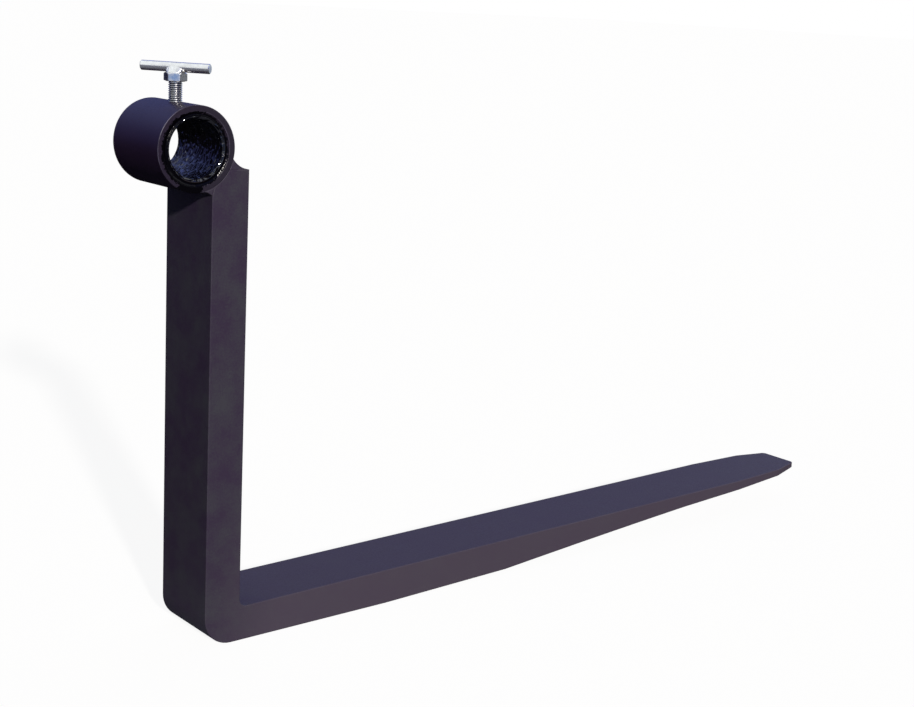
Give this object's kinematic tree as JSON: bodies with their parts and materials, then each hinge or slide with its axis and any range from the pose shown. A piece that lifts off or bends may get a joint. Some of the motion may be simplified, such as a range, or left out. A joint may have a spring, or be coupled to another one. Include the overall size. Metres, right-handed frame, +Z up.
{
  "type": "forklift fork",
  "caption": "L-shaped forged lifting fork with a tapered blade, hung on a cross shaft by a bushed tube and locked by a tee-handled clamp screw.",
  "frame": {"origin": "on the shaft bore's axis, at the middle of the tube's width", "axes": "+X along the blade towards its tip, +Y along the shaft to the fork's left, +Z up"},
  "size_m": [1.1879, 0.1016, 0.6837],
  "materials": {
    "black_enamel": "semi-gloss black paint over forged steel",
    "bore_enamel": "thick gloss black paint, rough from brushing",
    "zinc_plate": "bright zinc plating"
  },
  "bodies": {
    "fork": {"fork_arm": "black_enamel", "hanger_tube": "black_enamel", "bore_sleeve": "bore_enamel", "sleeve_weld_left": "bore_enamel", "sleeve_weld_right": "bore_enamel", "tube_weld_front": "black_enamel", "tube_weld_rear": "black_enamel"},
    "clamp": {"clamp_screw": "zinc_plate", "tee_bar": "zinc_plate", "tee_weld_front": "zinc_plate", "tee_weld_rear": "zinc_plate"}
  },
  "joints": [
    {"name": "clamp_travel", "type": "slide", "parent": "fork", "child": "clamp", "axis": [0, 0, 1], "range_m": [-0.0215, 0.008]}
  ]
}
